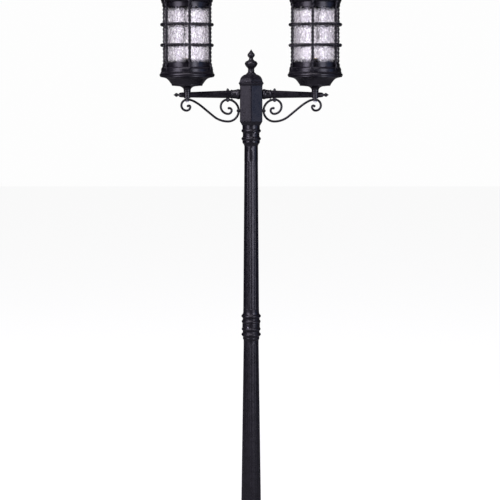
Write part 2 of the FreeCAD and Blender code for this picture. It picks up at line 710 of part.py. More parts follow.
def right_arm():
    root = HUB_APOTHEM
    start = root + BELL_LENGTH
    end = LANTERN_REACH + ARM_OVERHANG
    beam = Part.makeLoft([octagon(start, ARM_ROOT_APOTHEM, ARM_Z), octagon(end, ARM_TIP_APOTHEM, TIP_Z)], True)
    nose = Part.makeLoft([octagon(end, ARM_TIP_APOTHEM, TIP_Z), octagon(end + 9, ARM_TIP_APOTHEM - 1.2, TIP_Z),
                          octagon(end + 13, ARM_TIP_APOTHEM - 3, TIP_Z)], True, True)
    a = ARM_ROOT_APOTHEM
    collar = a + ARM_COLLAR - 0.8
    bell = turned([(0, 0), (a + 2, 0), (a + 4.5, 4, 0.3), (a + 4.5, 11, 0.2), (a + 2.2, 20, -0.15),
                   (a + 1.0, BELL_LENGTH - 4), (collar, BELL_LENGTH, -0.2), (collar, BELL_LENGTH + 3, 0.5),
                   (a, BELL_LENGTH + 5), (0, BELL_LENGTH + 5)])
    bell = aimed(bell, (root, 0, ARM_Z), (1, 0, 0))
    spigot = aimed(round_bar(ARM_SPIGOT_R, -HUB_WALL - ARM_NUT_THICK - 2, 1), (root, 0, ARM_Z), (1, 0, 0))
    boss = round_bar(BOSS_R, BOSS_FOOT, SEAT_Z, LANTERN_REACH)
    body = joined(beam, nose, bell, spigot, boss)
    bore = aimed(round_bar(ARM_BORE_R, root - 30, LANTERN_REACH), (0, 0, ARM_Z), (1, 0, 0))
    stem = round_bar(ROD_R + SLIP, BOSS_FOOT - 1, SEAT_Z + 1, LANTERN_REACH)
    tip = aimed(round_bar(M6_R + SLIP, end + 4, end + 14), (0, 0, TIP_Z), (1, 0, 0))
    below = round_bar(M6_R + SLIP, BEAM_UNDERSIDE - 5, BEAM_UNDERSIDE + 8, SCREW_X)
    above = round_bar(M6_R + SLIP, acorn_seat() - 7.5, ARM_Z + 40, SCREW_X)
    spot = round_bar(6.0, acorn_seat(), ARM_Z + 40, SCREW_X)
    return body.cut([bore, stem, tip, below, above, spot])


def beam_section(x):
    """The beam's apothem and axis level at a distance from the post's axis."""
    start = HUB_APOTHEM + BELL_LENGTH
    share = (x - start) / (LANTERN_REACH + ARM_OVERHANG - start)
    return ARM_ROOT_APOTHEM + share * (ARM_TIP_APOTHEM - ARM_ROOT_APOTHEM), ARM_Z - share * ARM_DROP


def acorn_seat():
    apothem, level = beam_section(SCREW_X)
    return level + apothem - 0.4


def arm_nut():
    face = HUB_APOTHEM - HUB_WALL
    nut = hex_bar(ARM_SPIGOT_R + 5.5, -ARM_NUT_THICK, 0).cut(round_bar(ARM_SPIGOT_R + SLIP / 2, -10, 1))
    return aimed(nut, (face, 0, ARM_Z), (1, 0, 0))


def arm_finial():
    """A small pointed bud on a neck, screwed into the arm's end."""
    bud = turned([(0, 0), (6.5, 0), (6.5, 1.5), (4.0, 2.8, -0.3), (4.2, 4.5), (8.2, 11, 0.2),
                  (6.1, 16.5, 0.3), (0.8, 23.5, -0.1), (0, 23.8)])
    shank = round_bar(M6_R, -8, 1)
    return aimed(joined(bud, shank), (LANTERN_REACH + ARM_OVERHANG + 13, 0, TIP_Z), (1, 0, 0))


def acorn_nut():
    """A domed nut on top of the beam, on a short stud."""
    nut = turned([(0, 0), (5.4, 0), (5.4, 4), (4.4, 6.0, 0.2), (1.2, 8.6, 0.25), (0.6, 10.0), (0, 10.2)])
    return moved(joined(nut, round_bar(M6_R, -7, 1)), x=SCREW_X, z=acorn_seat())


# ---------------------------------------------------------------- scrolls

SCROLL_CROWN_R = 46.5       # from the top of the scroll round to the hub
SCROLL_FOOT_R = 44.7        # from the hub round to the lowest point
SCROLL_SWEEP_R = 95.0       # from the lowest point into the long run
INNER_VOLUTE = [(28.5, -90), (31.0, -90), (14.5, -90), (9.5, -105)]
RUN_EASE = (200.0, 12.0)    # the long run bends gently, then closer to the lantern stem
RUN_CLOSE_R = 60.0
OUTER_VOLUTE = [(24.3, -90), (21.5, -90), (15.5, -90), (5.5, -140)]


def long_run():
    """The angle the sweep climbs to and the straight length that meets the stem eye."""
    across = LANTERN_REACH - (HUB_APOTHEM + SCROLL_STANDOFF + SCROLL_FOOT_R)
    rise = SCROLL_CROWN_R + SCROLL_FOOT_R
    ease_r, ease = RUN_EASE[0], math.radians(RUN_EASE[1])

    def leftover(angle):
        low = angle - ease
        x = (SCROLL_SWEEP_R + ease_r) * math.sin(angle) - (ease_r - RUN_CLOSE_R) * math.sin(low)
        z = SCROLL_SWEEP_R * (1 - math.cos(angle)) + ease_r * (math.cos(low) - math.cos(angle))
        z += RUN_CLOSE_R * (1 - math.cos(low))
        return across - x, rise - z

    shallow, steep = ease, math.radians(85)
    for _ in range(60):
        angle = (shallow + steep) / 2
        dx, dz = leftover(angle)
        if dx * math.sin(angle) - dz * math.cos(angle) > 0:
            steep = angle
        else:
            shallow = angle
    return math.degrees(angle), math.hypot(dx, dz)


def pad_top():
    """The bell's collar is the lowest thing above the scroll's second pad."""
    return ARM_Z - ARM_ROOT_APOTHEM - ARM_COLLAR - SLIP


def right_scroll():
    """One bar from the small volute under the arm, round by the hub, to the stem's volute."""
    near = HUB_APOTHEM + SCROLL_STANDOFF
    crown = (near + SCROLL_CROWN_R, SCROLL_Z)
    inner, inner_end = bent_bar(BAR_R, crown, 0, INNER_VOLUTE)
    climb, length = long_run()
    ease_r, ease = RUN_EASE
    bends = [(SCROLL_CROWN_R, 90), (SCROLL_FOOT_R, 90), (SCROLL_SWEEP_R, climb), (0, length),
             (ease_r, -ease), (RUN_CLOSE_R, ease - climb)] + OUTER_VOLUTE
    outer, outer_end = bent_bar(BAR_R, crown, 180, bends)
    tips = [Part.makeSphere(BAR_R + 0.7, V(x, 0, z)) for x, z in (inner_end, outer_end)]
    apothem, level = beam_section(SCREW_X - EYE_R)
    eye = round_bar(EYE_R, EYE_FOOT, level - apothem, SCREW_X)
    stem_eye = round_bar(EYE_R, EYE_FOOT, BOSS_FOOT, LANTERN_REACH)
    pad_x = SCREW_X - 2 * EYE_R
    pad = round_bar(EYE_R - 1, SCROLL_Z - 1, pad_top(), pad_x)
    hub_eye = aimed(round_bar(EYE_R - 1, HUB_APOTHEM, near + BAR_R + 1), (0, 0, hub_screw_level()), (1, 0, 0))
    body = joined(inner, outer, eye, pad, stem_eye, hub_eye, *tips)
    holes = [
        round_bar(M6_R + SLIP, SCROLL_Z - 20, ARM_Z, SCREW_X),
        round_bar(ROD_R + SLIP, SCROLL_Z - 20, ARM_Z, LANTERN_REACH),
        aimed(round_bar(M5_R + SLIP, 0, near + 20), (0, 0, hub_screw_level()), (1, 0, 0)),
    ]
    return body.cut(holes)


def bracket_screws():
    """Per side: one screw up into the beam and one through the hub's wall."""
    depth = BEAM_UNDERSIDE - EYE_FOOT + 7
    under = aimed(screw(M6_R, depth, M6_HEAD_R, 4.0), (SCREW_X, 0, EYE_FOOT), (0, 0, -1))
    near = HUB_APOTHEM + SCROLL_STANDOFF + BAR_R + 1
    length = SCROLL_STANDOFF + BAR_R + 1 + HUB_WALL + 2
    wall = aimed(screw(M5_R, length, M5_HEAD_R, 3.4), (near, 0, hub_screw_level()), (1, 0, 0))
    pieces = [under, wall]
    return pieces + [mirrored(p) for p in pieces]


# ---------------------------------------------------------------- lantern, axis at the origin

def collar_outline():
    """The lower collar's section: rim, bead groove, band, shoulder and glass lip."""
    g = GLASS_R
    ledge = GLASS_SEAT
    groove = g + GLASS_SLACK
    return [
        (g + 4.5, BOWL_RIM), (g + 17.2, BOWL_RIM), (g + 17.2, BOWL_RIM + 12, 0.43),
        (g + 13.2, BOWL_RIM + 13.6, 0.2), (g + 11.0, BOWL_RIM + 14.5), (g + 11.0, BOWL_RIM + 18, -0.35),
        (g + 13.0, BOWL_RIM + 18.5), (g + 13.0, ledge - 17), (g + 5.0, ledge - 8.6, 0.41),
        (g + 3.8, ledge - 7.5), (g + 3.8, ledge + COLLAR_LIP), (groove, ledge + COLLAR_LIP), (groove, ledge),
        (LEDGE_IN, ledge), (LEDGE_IN, ledge - 4), (g - 1, ledge - 4), (g + 7.5, ledge - 13),
        (g + 7.5, BOWL_RIM + 4), (g + 4.5, BOWL_RIM + 4),
    ]


def lower_collar():
    return turned(collar_outline())


def over_middle(shape):
    return shape.mirror(V(0, 0, MIDDLE), UP)


def upper_collar():
    ring = over_middle(lower_collar())
    top = ROOF_SEAT
    axis_y = GLASS_R + ROOF_HINGE_OUT
    edge = GLASS_R + 9
    ears = []
    for x0 in (8.3, -18.3):
        ears.append(block(x0, x0 + 10, edge, axis_y + 3, top - 9, top - 1.2))
        ears.append(aimed(round_bar(ROOF_KNUCKLE_R, x0, x0 + 10), (0, axis_y, hinge_level()), (1, 0, 0)))
    lug_y = -(GLASS_R + LUG_OUT)
    lug = round_bar(LUG_R, top - LUG_DEPTH, top, 0, lug_y)
    web = block(-5.5, 5.5, lug_y, -edge, top - LUG_DEPTH + 2, top)
    body = joined(ring, lug, web, *ears)
    pin = aimed(round_bar(ROOF_PIN_R + RUNNING, -30, 30), (0, axis_y, hinge_level()), (1, 0, 0))
    shank = round_bar(M5_R + LUG_HOLE_SLACK, top - 30, top + 1, 0, lug_y)
    return body.cut([pin, shank])


def hinge_level():
    return ROOF_SEAT + 1.5


def hinge_pin():
    axis_y = GLASS_R + ROOF_HINGE_OUT
    shank = round_bar(ROOF_PIN_R, -19.0, 19.0)
    heads = [round_bar(ROOF_PIN_R + 1.3, -20.5, -18.8), round_bar(ROOF_PIN_R + 1.3, 18.8, 20.5)]
    return aimed(joined(shank, *heads), (0, axis_y, hinge_level()), (1, 0, 0))


def stem():
    flare = STEM_R + STEM_FLARE
    body = turned([(0, 0), (STEM_R + 1, 0), (STEM_R, 2), (STEM_R, 6), (flare, STEM_HEIGHT, -0.22), (0, STEM_HEIGHT)])
    return body.cut(round_bar(ROD_R + SLIP, -1, STEM_HEIGHT + 1))


def bowl():
    """Spun pan: a shallow dish, a rounded corner and a cavetto out to the rim."""
    g = GLASS_R
    s = STEM_R
    z = STEM_HEIGHT
    bore = ROD_R + SLIP
    return turned([
        (bore, z), (s + STEM_FLARE, z), (s + 18, z + 5.6, -0.15), (g - 36, z + 8.2), (g - 31.0, z + 10.6, 0.5),
        (g - 30.2, z + 14, -0.1), (g - 25.3, z + 20.3), (g - 11.5, BOWL_RIM - 10.5, -0.08),
        (g + 2.3, BOWL_RIM - 5.1, -0.1), (g + 16.5, BOWL_RIM - 2.5), (g + 16.5, BOWL_RIM),
        (g - 3.5, BOWL_RIM), (g - 3.5, BOWL_RIM - 2.5), (g - 13.5, BOWL_RIM - 6), (g - 29.5, z + 21.5, 0.08),
        (g - 35, z + 12.5), (s + 15.3, z + BOWL_FLOOR), (bore, z + BOWL_FLOOR),
    ])


def cage():
    """Six bars and two hoops in one casting, with a strap on each band."""
    ring_r = GLASS_R + CAGE_OUT
    low = GLASS_SEAT + 8
    strap_r = GLASS_R + 13 + BODY_GAP
    bar = round_bar(CAGE_BAR_R, low, 2 * MIDDLE - low, ring_r)
    kick_end = V(strap_r + 1.0, 0, GLASS_SEAT - 9)
    kick_start = V(ring_r, 0, low)
    way = kick_start - kick_end
    kick = aimed(round_bar(CAGE_BAR_R - 0.4, 0, way.Length), kick_end, way)
    knee = Part.makeSphere(CAGE_BAR_R, kick_start)
    strap = sector(strap_r, strap_r + 2.5, 0, 4.7, BOWL_RIM + 19.5, GLASS_SEAT - 8)
    foot = kick.fuse([knee, strap])
    one = bar.fuse([foot, over_middle(foot)])
    hoops = [Part.makeTorus(ring_r, HOOP_R, V(0, 0, MIDDLE + side * HOOP_OFFSET)) for side in (-1, 1)]
    body = joined(*hoops, *ring_of(one, CAGE_BARS, CAGE_TURN))
    keep_off = collar_envelope()
    return body.cut([keep_off, over_middle(keep_off)])


def collar_envelope():
    """The lower collar grown outwards by the gap that the cage keeps from it."""
    g = GLASS_R + BODY_GAP
    ledge = GLASS_SEAT + BODY_GAP
    return turned([
        (g - 20, BOWL_RIM), (g + 13.0, BOWL_RIM), (g + 13.0, ledge - 17), (g + 5.0, ledge - 8.6, 0.41),
        (g + 3.8, ledge - 7.5), (g + 3.8, ledge + COLLAR_LIP), (g - 20, ledge + COLLAR_LIP),
    ])


def glass():
    return tube(GLASS_R, GLASS_R - GLASS_WALL, GLASS_Z0, GLASS_Z1)


def glass_seals():
    low = tube(GLASS_R + GLASS_SLACK - SLIP, GLASS_R - GLASS_WALL - 0.5, GLASS_SEAT, GLASS_Z0)
    return [low, over_middle(low)]


def roof():
    """Cavetto roof with a locating lip, a spoked vent hole, a hinge tongue and a screw lug."""
    g = GLASS_R
    gap = BODY_GAP
    shell = turned([
        (g + 0.2, -4), (g + 3.3, -4), (g + 3.3, gap), (g + 17, gap), (g + 17, 2.8, 0.1), (g + 10.5, 4.2),
        (g - 29.5, 34, -0.3), (g - 29.5, 37.5), (g - 33, CROWN_Z, 0.3), (34, CROWN_Z), (34, CROWN_Z - 4),
        (g - 38, CROWN_Z - 4), (g - 34, 31), (g + 0.2, 3.5, 0.3),
    ])
    spoke = block(-36, 36, -6, 6, CROWN_Z - 4, CROWN_Z)
    axis_y = g + ROOF_HINGE_OUT
    level = hinge_level() - ROOF_SEAT
    tongue = block(-7.8, 7.8, g + 9, axis_y, 0.5, 4.5)
    knuckle = aimed(round_bar(ROOF_KNUCKLE_R, -7.8, 7.8), (0, axis_y, level), (1, 0, 0))
    lug_y = -(g + LUG_OUT)
    lug = round_bar(LUG_R, gap, gap + 5, 0, lug_y)
    web = block(-5.5, 5.5, lug_y, -(g + 9), gap, gap + 4)
    body = joined(shell, spoke, tongue, knuckle, lug, web)
    holes = [
        aimed(round_bar(ROOF_PIN_R + RUNNING, -30, 30), (0, axis_y, level), (1, 0, 0)),
        round_bar(M5_R + RUNNING, -5, 20, 0, lug_y),
        round_bar(STUD_R + RUNNING, CROWN_Z - 10, CROWN_Z + 5),
    ]
    return moved(body.cut(holes), z=ROOF_SEAT)


def crown():
    """Ventilated drum with a spreading cap."""
    h = CROWN_HEIGHT
    stud = STUD_R + SLIP
    body = turned([
        (38, 0), (46, 0), (46, 3), (43, 4, -0.3), (43, 17), (52, 20, -0.2), (52, 24, 0.7), (46, 27, -0.2),
        (14, h - 3, 0.12), (12.5, h), (stud, h), (stud, h - 7), (10, h - 8), (38, 24, -0.12),
    ])
    vent = block(30, 50, -3, 3, 6.5, 15.5)
    return moved(body.cut(ring_of(vent, CROWN_VENTS)), z=ROOF_SEAT + CROWN_Z)


def roof_finial():
    foot = ROOF_SEAT + CROWN_Z + CROWN_HEIGHT
    stud = round_bar(STUD_R, ROOF_SEAT + CROWN_Z - 6, foot + 1)
    return joined(moved(finial(ROOF_FINIAL_SCALE), z=foot), stud)


def thumb_screw():
    """A wing screw that turns in the roof's lug and reaches into the collar's."""
    lug_y = -(GLASS_R + LUG_OUT)
    foot = ROOF_SEAT + 5 + 2 * BODY_GAP
    shank = round_bar(M5_R, ROOF_SEAT - LUG_DEPTH + 2, foot + 1)
    boss = turned([(0, 0), (5.2, 0), (4.4, 7), (0, 8.2, 0.2)], foot)
    wings = []
    for side in (-1, 1):
        wings.append(aimed(round_bar(4.4, -1.5, 1.5), (side * 6.0, 0, foot + 8.5), (0, 1, 0)))
        wings.append(block(min(0, side * 6), max(0, side * 6), -1.5, 1.5, foot + 4.2, foot + 9))
    return moved(joined(boss, *wings), y=lug_y).fuse(moved(shank, y=lug_y)).removeSplitter()


def stem_rod():
    """Threaded rod from the scroll's eye to the lamp holder, slotted for the lead."""
    foot = EYE_FOOT - STEM_NUT - 1.2 - SEAT_Z
    body = tube(ROD_R, ROD_BORE_R, foot, HOLDER_FOOT + 2)
    slot = block(-ROD_R - 1, 0, -LEAD_R - 0.4, LEAD_R + 0.4, ARM_Z - SEAT_Z - 5, 2)
    return body.cut(slot)


def stem_nuts():
    """One nut under the scroll's eye and one on the bowl's floor."""
    under = EYE_FOOT - SEAT_Z
    hole = round_bar(ROD_R + SLIP / 2, -60, 60)
    low = hex_bar(7.5, under - STEM_NUT, under)
    floor = STEM_HEIGHT + BOWL_FLOOR
    high = joined(round_bar(11.0, floor, floor + 1.6), hex_bar(8.0, floor + 1.5, floor + 7))
    return [low.cut(hole), high.cut(hole)]


def lamp_holder():
    """Moulded screw socket: foot cap, ribbed barrel and skirt."""
    r = HOLDER_R
    body = turned([
        (0, 0), (r - 7, 0), (r - 4, 4, 0.2), (r - 4, 12), (r - 1, 15), (r - 1, 22), (r, 24), (r, 30),
        (r - 1.5, 32), (r - 1.5, HOLDER_HEIGHT - 3), (r, HOLDER_HEIGHT), (BULB_CAP_R + 0.6, HOLDER_HEIGHT),
        (BULB_CAP_R + 0.6, HOLDER_HEIGHT - BULB_CAP_DEPTH), (0, HOLDER_HEIGHT - BULB_CAP_DEPTH),
    ])
    socket = round_bar(ROD_R + SLIP, -1, 2 + SLIP)
    lead = round_bar(LEAD_R + SLIP, 0, 7)
    return moved(body.cut([socket, lead]), z=HOLDER_FOOT)


def bulb_cap():
    """Screw cap with rounded threads and a contact button."""
    z1 = HOLDER_TOP + 1
    foot = HOLDER_TOP - BULB_CAP_DEPTH + 0.5
    r = BULB_CAP_R
    points = [(0, foot), (4, foot), (4, foot + 1.5), (r - 3, foot + 5)]
    pitch = 3.6
    level = foot + 6
    points.append((r - 0.9, level))
    while level + pitch < z1 - 1:
        points += [(r - 0.9, level), (r - 0.9, level + pitch, 0.45)]
        level += pitch
    points = [p for i, p in enumerate(points) if i == 0 or p[:2] != points[i - 1][:2]]
    points += [(r - 0.9, z1), (0, z1)]
    return turned(points)


def bulb():
    """Opal globe lamp above its cap."""
    neck = BULB_CAP_R + 1.5
    z = HOLDER_TOP + 1
    drop = math.sqrt(BULB_R ** 2 - (neck + 3) ** 2)
    centre = z + 14 + drop
    half = math.pi - math.acos(drop / BULB_R)
    quarter = math.tan(half / 4)
    return turned([(0, z), (neck, z), (neck + 3, centre - drop, -0.05), (0, centre + BULB_R, quarter)])


# ---------------------------------------------------------------- leads

def right_lead():
    """From the terminal block up the post, along the arm's bore and up the stem rod."""
    foot = BLOCK_Z1
    turn_z = ARM_Z - HUB_BEND_R
    along = LANTERN_REACH - ROD_BEND_R - (LEAD_X + HUB_BEND_R)
    end = SEAT_Z + HOLDER_FOOT + 6
    lead, _ = bent_bar(LEAD_R, (LEAD_X, foot), 90,
                       [(0, turn_z - foot), (HUB_BEND_R, -90), (0, along), (ROD_BEND_R, 90),
                        (0, end - ARM_Z - ROD_BEND_R)])
    return lead


# ---------------------------------------------------------------- assembly

def both_sides(make, at_lantern=True):
    """The right-hand piece or pieces, then their mirror images."""
    made = make()
    pieces = made if isinstance(made, list) else [made]
    if at_lantern:
        pieces = [moved(p, x=LANTERN_REACH, z=SEAT_Z) for p in pieces]
    return pieces, [mirrored(p) for p in pieces]


def build():
    nodes = {
        "base_pedestal": base_pedestal(),
        "base_set_screws": base_set_screws(),
        "service_door": service_door(),
        "door_gasket": door_gasket(),
        "door_hinge_pin": door_hinge_pin(),
        "door_lock": door_lock(),
        "terminal_plate": terminal_plate(),
        "plate_screws": plate_screws(),
        "terminal_block": terminal_block(),
        "terminal_screws": terminal_screws(),
        "lower_shaft": lower_shaft(),
        "shaft_coupling": shaft_coupling(),
        "coupling_screws": coupling_screws(),
        "upper_shaft": upper_shaft(),
        "capital": capital(),
        "capital_screw": capital_screw(),
        "shaft_set_screw": shaft_set_screw(),
        "hub": hub(),
        "hub_cap": hub_cap(),
        "hub_finial": hub_finial(),
        "hub_tie_rod": hub_tie_rod(),
        "bracket_screws": bracket_screws(),
    }
    for name, make in (("arm", right_arm), ("scroll", right_scroll), ("lead", right_lead)):
        right, left = both_sides(make, at_lantern=False)
        nodes["right_" + name] = right
        nodes["left_" + name] = left
    for name, make in (("arm_nuts", arm_nut), ("arm_finials", arm_finial), ("acorn_nuts", acorn_nut)):
        right, left = both_sides(make, at_lantern=False)
        nodes[name] = right + left
    for make in (stem, bowl, lower_collar, cage, glass, upper_collar, roof, crown, roof_finial,
                 thumb_screw, lamp_holder, bulb):
        right, left = both_sides(make)
        nodes["right_" + make.__name__] = right
        nodes["left_" + make.__name__] = left
    for name, make in (("glass_seals", glass_seals), ("roof_hinge_pins", hinge_pin),
                       ("bulb_caps", bulb_cap), ("stem_rods", stem_rod), ("stem_nuts", stem_nuts)):
        right, left = both_sides(make)
        nodes[name] = right + left
    return nodes


def main():
    os.makedirs("parts", exist_ok=True)
    for name, made in build().items():
        pieces = made if isinstance(made, list) else [made]
        solids = [solid for piece in pieces for solid in piece.Solids]
        bad = [solid for solid in solids if not solid.isValid() or solid.Volume <= 0]
        shape = solids[0] if len(solids) == 1 else Part.makeCompound(solids)
        shape.exportStep("parts/" + name + ".step")
        print(f"{name}: {len(solids)} solids, {shape.Volume / 1000:.1f} cm3" + (" BAD" if bad else ""))


main()
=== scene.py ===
import bmesh
import bpy
import json
import math
from mathutils import Matrix, Vector


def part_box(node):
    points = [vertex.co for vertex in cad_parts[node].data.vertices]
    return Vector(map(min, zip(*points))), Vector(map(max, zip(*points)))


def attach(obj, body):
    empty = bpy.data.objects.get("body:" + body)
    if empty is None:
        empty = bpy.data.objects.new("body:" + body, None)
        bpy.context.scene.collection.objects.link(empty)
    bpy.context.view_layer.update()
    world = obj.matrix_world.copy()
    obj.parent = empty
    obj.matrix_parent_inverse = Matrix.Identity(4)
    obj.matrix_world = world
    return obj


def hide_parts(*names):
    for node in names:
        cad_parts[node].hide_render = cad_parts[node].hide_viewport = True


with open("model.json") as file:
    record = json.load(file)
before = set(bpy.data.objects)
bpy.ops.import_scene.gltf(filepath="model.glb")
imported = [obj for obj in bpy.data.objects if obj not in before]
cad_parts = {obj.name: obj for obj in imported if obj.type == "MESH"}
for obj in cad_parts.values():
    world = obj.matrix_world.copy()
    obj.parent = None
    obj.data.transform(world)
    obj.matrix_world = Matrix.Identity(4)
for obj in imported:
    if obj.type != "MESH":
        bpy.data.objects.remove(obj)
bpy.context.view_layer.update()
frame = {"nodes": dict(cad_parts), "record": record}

SIDES = {"left": -1.0, "right": 1.0}


# ------------------------------------------------------------------ the lanterns' own sizes

def lantern_axis(side):
    """Where a lantern stands: the x of its axis, from its glass."""
    low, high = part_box(side + "_glass")
    return (low.x + high.x) / 2


def lantern_levels(side):
    low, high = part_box(side + "_glass")
    return low.z, high.z, (low.z + high.z) / 2


GLASS_RADIUS = (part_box("right_glass")[1].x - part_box("right_glass")[0].x) / 2
GLASS_WALL = 0.004
RIPPLE_DEPTH = 0.0018
RIPPLE_ROOM = 0.0011     # each face stands this far inside its wall, so that it can ripple
RIPPLE_SCALE = 95.0
RIPPLE_SEED = {"left": 3.0, "right": 11.0}
GLASS_COLUMNS = 216
GLASS_ROWS = 120

BAR_RING = GLASS_RADIUS + 0.009
BAR_RADIUS = 0.0070
HOOP_RADIUS = BAR_RADIUS + 0.0003
HOOP_OFFSET = 0.0426     # hoops above and below the middle of the glass
CAGE_BARS = 6
FIRST_BAR = {"right": -98.0, "left": -82.0}
BAR_TURNS = 8.5
HOOP_TURNS = 21.0
TWIST = {"Lobes": 2, "Groove": 0.62, "Step": 0.0017}
BEND_RADIUS = 0.006
KICK = 0.0105            # from the glass's rim to where a bar leaves its strap
STRAIGHT = 0.0065        # from the glass's rim to where a bar runs straight
BAR_END = 0.004          # bar buried in its strap

STRAP_RADIUS = GLASS_RADIUS + 0.0133
STRAP_NEAR = 0.0095      # a strap's two ends, from the glass's rim
STRAP_FAR = 0.0280
STRAP_THICK = 0.0025
STRAP_CHAMFER = 0.0008
STRAP_LIFT = 0.0006      # bar's centre line outside the strap's inner face
STRAP_HALF_ANGLE = math.radians(4.7)
STRAP_STEPS = 8

BEAD_RING = GLASS_RADIUS + 0.0118
BEAD_LEVEL = 0.0313      # from the glass's rim to the bead row
BEAD_RADIUS = 0.0034
BEADS = 72


# ------------------------------------------------------------------ finishes

class Finish:
    """One finish: a principled shader and the nodes that vary it."""

    def __init__(self, name):
        self.material = bpy.data.materials.new(name)
        self.material.use_nodes = True
        self.nodes = self.material.node_tree.nodes
        self.links = self.material.node_tree.links
        self.nodes.clear()
        self.shader = self.nodes.new("ShaderNodeBsdfPrincipled")
        self.surface = self.nodes.new("ShaderNodeOutputMaterial")
        self.links.new(self.shader.outputs[0], self.surface.inputs["Surface"])
        self.place = self.nodes.new("ShaderNodeTexCoord").outputs["Object"]

    def put(self, socket, value):
        """Sets a socket to a constant, or feeds it from another node."""
        if isinstance(value, bpy.types.NodeSocket):
            self.links.new(value, socket)
        else:
            socket.default_value = value

    def set(self, **values):
        for name, value in values.items():
            self.put(self.shader.inputs[name.replace("_", " ")], value)

    def stretched(self, x, y, z):
        node = self.nodes.new("ShaderNodeMapping")
        node.inputs["Scale"].default_value = (x, y, z)
        self.links.new(self.place, node.inputs["Vector"])
        return node.outputs["Vector"]

    def noise(self, scale, detail=3.0, roughness=0.5, distortion=0.0, at=None):
        node = self.nodes.new("ShaderNodeTexNoise")
        self.links.new(at or self.place, node.inputs["Vector"])
        node.inputs["Scale"].default_value = scale
        node.inputs["Detail"].default_value = detail
        node.inputs["Roughness"].default_value = roughness
        node.inputs["Distortion"].default_value = distortion
        return node.outputs["Fac"]

    def cells(self, scale, at=None, feature="F1"):
        node = self.nodes.new("ShaderNodeTexVoronoi")
        node.feature = feature
        self.links.new(at or self.place, node.inputs["Vector"])
        node.inputs["Scale"].default_value = scale
        return node.outputs["Distance"]

    def ranged(self, value, low, high, out_low=0.0, out_high=1.0):
        node = self.nodes.new("ShaderNodeMapRange")
        self.links.new(value, node.inputs["Value"])
        ends = {"From Min": low, "From Max": high, "To Min": out_low, "To Max": out_high}
        for name, number in ends.items():
            node.inputs[name].default_value = number
        return node.outputs["Result"]

    def math(self, operation, a, b=0.0):
        node = self.nodes.new("ShaderNodeMath")
        node.operation = operation
        self.put(node.inputs[0], a)
        self.put(node.inputs[1], b)
        return node.outputs[0]

    def colour(self, share, low, high):
        node = self.nodes.new("ShaderNodeMix")
        node.data_type = "RGBA"
        self.put(node.inputs[0], share)
        for socket, value in ((node.inputs[6], low), (node.inputs[7], high)):
            self.put(socket, value if isinstance(value, bpy.types.NodeSocket) else (*value, 1.0))
        return node.outputs[2]

    def bump(self, height, distance, under=None, strength=1.0):
        node = self.nodes.new("ShaderNodeBump")
        node.inputs["Strength"].default_value = strength
        node.inputs["Distance"].default_value = distance
        self.links.new(height, node.inputs["Height"])
        if under is not None:
            self.links.new(under, node.inputs["Normal"])
        return node.outputs["Normal"]

    def let_through(self, share, tint):
        """Lets a share of the light pass straight through, tinted."""
        clear = self.nodes.new("ShaderNodeBsdfTransparent")
        self.put(clear.inputs[0], tint)
        mix = self.nodes.new("ShaderNodeMixShader")
        self.put(mix.inputs[0], share)
        self.links.new(self.shader.outputs[0], mix.inputs[1])
        self.links.new(clear.outputs[0], mix.inputs[2])
        self.links.new(mix.outputs[0], self.surface.inputs["Surface"])

    def facing_up(self, start=0.45, end=0.95):
        """How much the surface faces the sky, where the dusting and the painted top-light highlight lie."""
        geometry = self.nodes.new("ShaderNodeNewGeometry")
        parts = self.nodes.new("ShaderNodeSeparateXYZ")
        self.links.new(geometry.outputs["Normal"], parts.inputs[0])
        return self.ranged(parts.outputs["Z"], start, end)


def powder_coat(name, dark, light, grain, casting, roughness=0.29):
    """Satin black powder coat: fine orange peel over the casting's own waves, and up-facing surfaces
    lightened, partly by a dusting and partly by a painted highlight.
    """
    f = Finish(name)
    patches = f.noise(38.0, 4.0, 0.6)
    fine = f.noise(1250.0, 2.0, 0.6)
    peel = f.noise(330.0, 2.0, 0.5)
    waves = f.noise(70.0, 3.0, 0.55)
    coat = f.colour(f.ranged(patches, 0.35, 0.68), dark, light)
    mixed = f.math("ADD", patches, peel)
    # painted highlight mixed with a dusting: up-facing surfaces turn light grey, as where their tops would
    # catch the light
    dust_and_top_sheen = f.math("MULTIPLY", f.facing_up(), f.ranged(f.noise(120.0, 5.0, 0.7), 0.40, 0.66, 0.0, 0.42))
    f.set(Base_Color=f.colour(dust_and_top_sheen, coat, (0.105, 0.098, 0.108)), IOR=1.48,
          Roughness=f.ranged(mixed, 0.75, 1.25, roughness - 0.07, roughness + 0.11))
    body = f.bump(waves, casting)
    f.set(Normal=f.bump(fine, grain * 0.5, f.bump(peel, grain, body)))
    return f.material


def turned_steel(name, tone, roughness):
    """Bright screws: fine turning marks and a few dull patches."""
    f = Finish(name)
    marks = f.noise(2600.0, 2.0, 0.5, at=f.stretched(1.0, 1.0, 0.15))
    patches = f.noise(420.0, 4.0, 0.6)
    shade = tuple(c * 0.55 for c in tone)
    f.set(Base_Color=f.colour(f.ranged(patches, 0.35, 0.7), shade, tone), Metallic=1.0,
          Roughness=f.ranged(patches, 0.3, 0.7, roughness - 0.08, roughness + 0.14),
          Normal=f.bump(marks, 0.00004))
    return f.material


